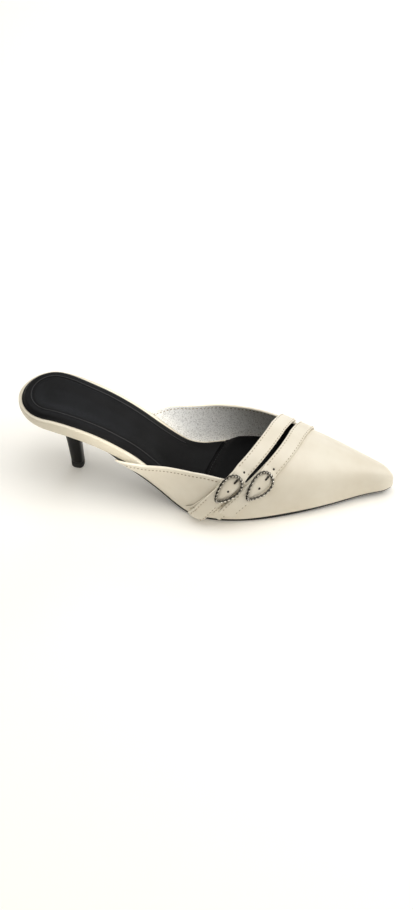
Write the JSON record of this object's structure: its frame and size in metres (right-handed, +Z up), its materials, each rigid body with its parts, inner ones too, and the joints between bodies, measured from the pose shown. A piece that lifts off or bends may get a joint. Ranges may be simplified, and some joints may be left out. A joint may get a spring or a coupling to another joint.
{
  "type": "mule",
  "caption": "Pointed leather mule with an open back, a wrapped footbed, slanted straps with leaf-shaped buckles over the instep, and a slim low heel.",
  "frame": {"origin": "on the floor, at the centre of the heel tip's underside", "axes": "+X towards the toe, -Y towards the outer side with the buckles, +Z up"},
  "size_m": [0.2608, 0.0932, 0.0645],
  "materials": {
    "cream_leather": "smooth satin leather",
    "black_leather": "fine grain, satin",
    "black_gloss": "satin gloss",
    "black_rubber": "matt",
    "silver_metal": "polished, slightly dark"
  },
  "bodies": {
    "root": {"outsole": "black_rubber", "insole_board": "cream_leather", "sock_rear": "black_leather", "sock_front": "black_leather", "upper": "cream_leather", "strap_rear": "cream_leather", "strap_front": "cream_leather", "buckle_tab_rear": "cream_leather", "buckle_tab_front": "cream_leather", "buckle_rear": "silver_metal", "buckle_front": "silver_metal", "prong_rear": "silver_metal", "prong_front": "silver_metal", "heel": "black_gloss", "heel_tip": "black_rubber"}
  },
  "joints": []
}
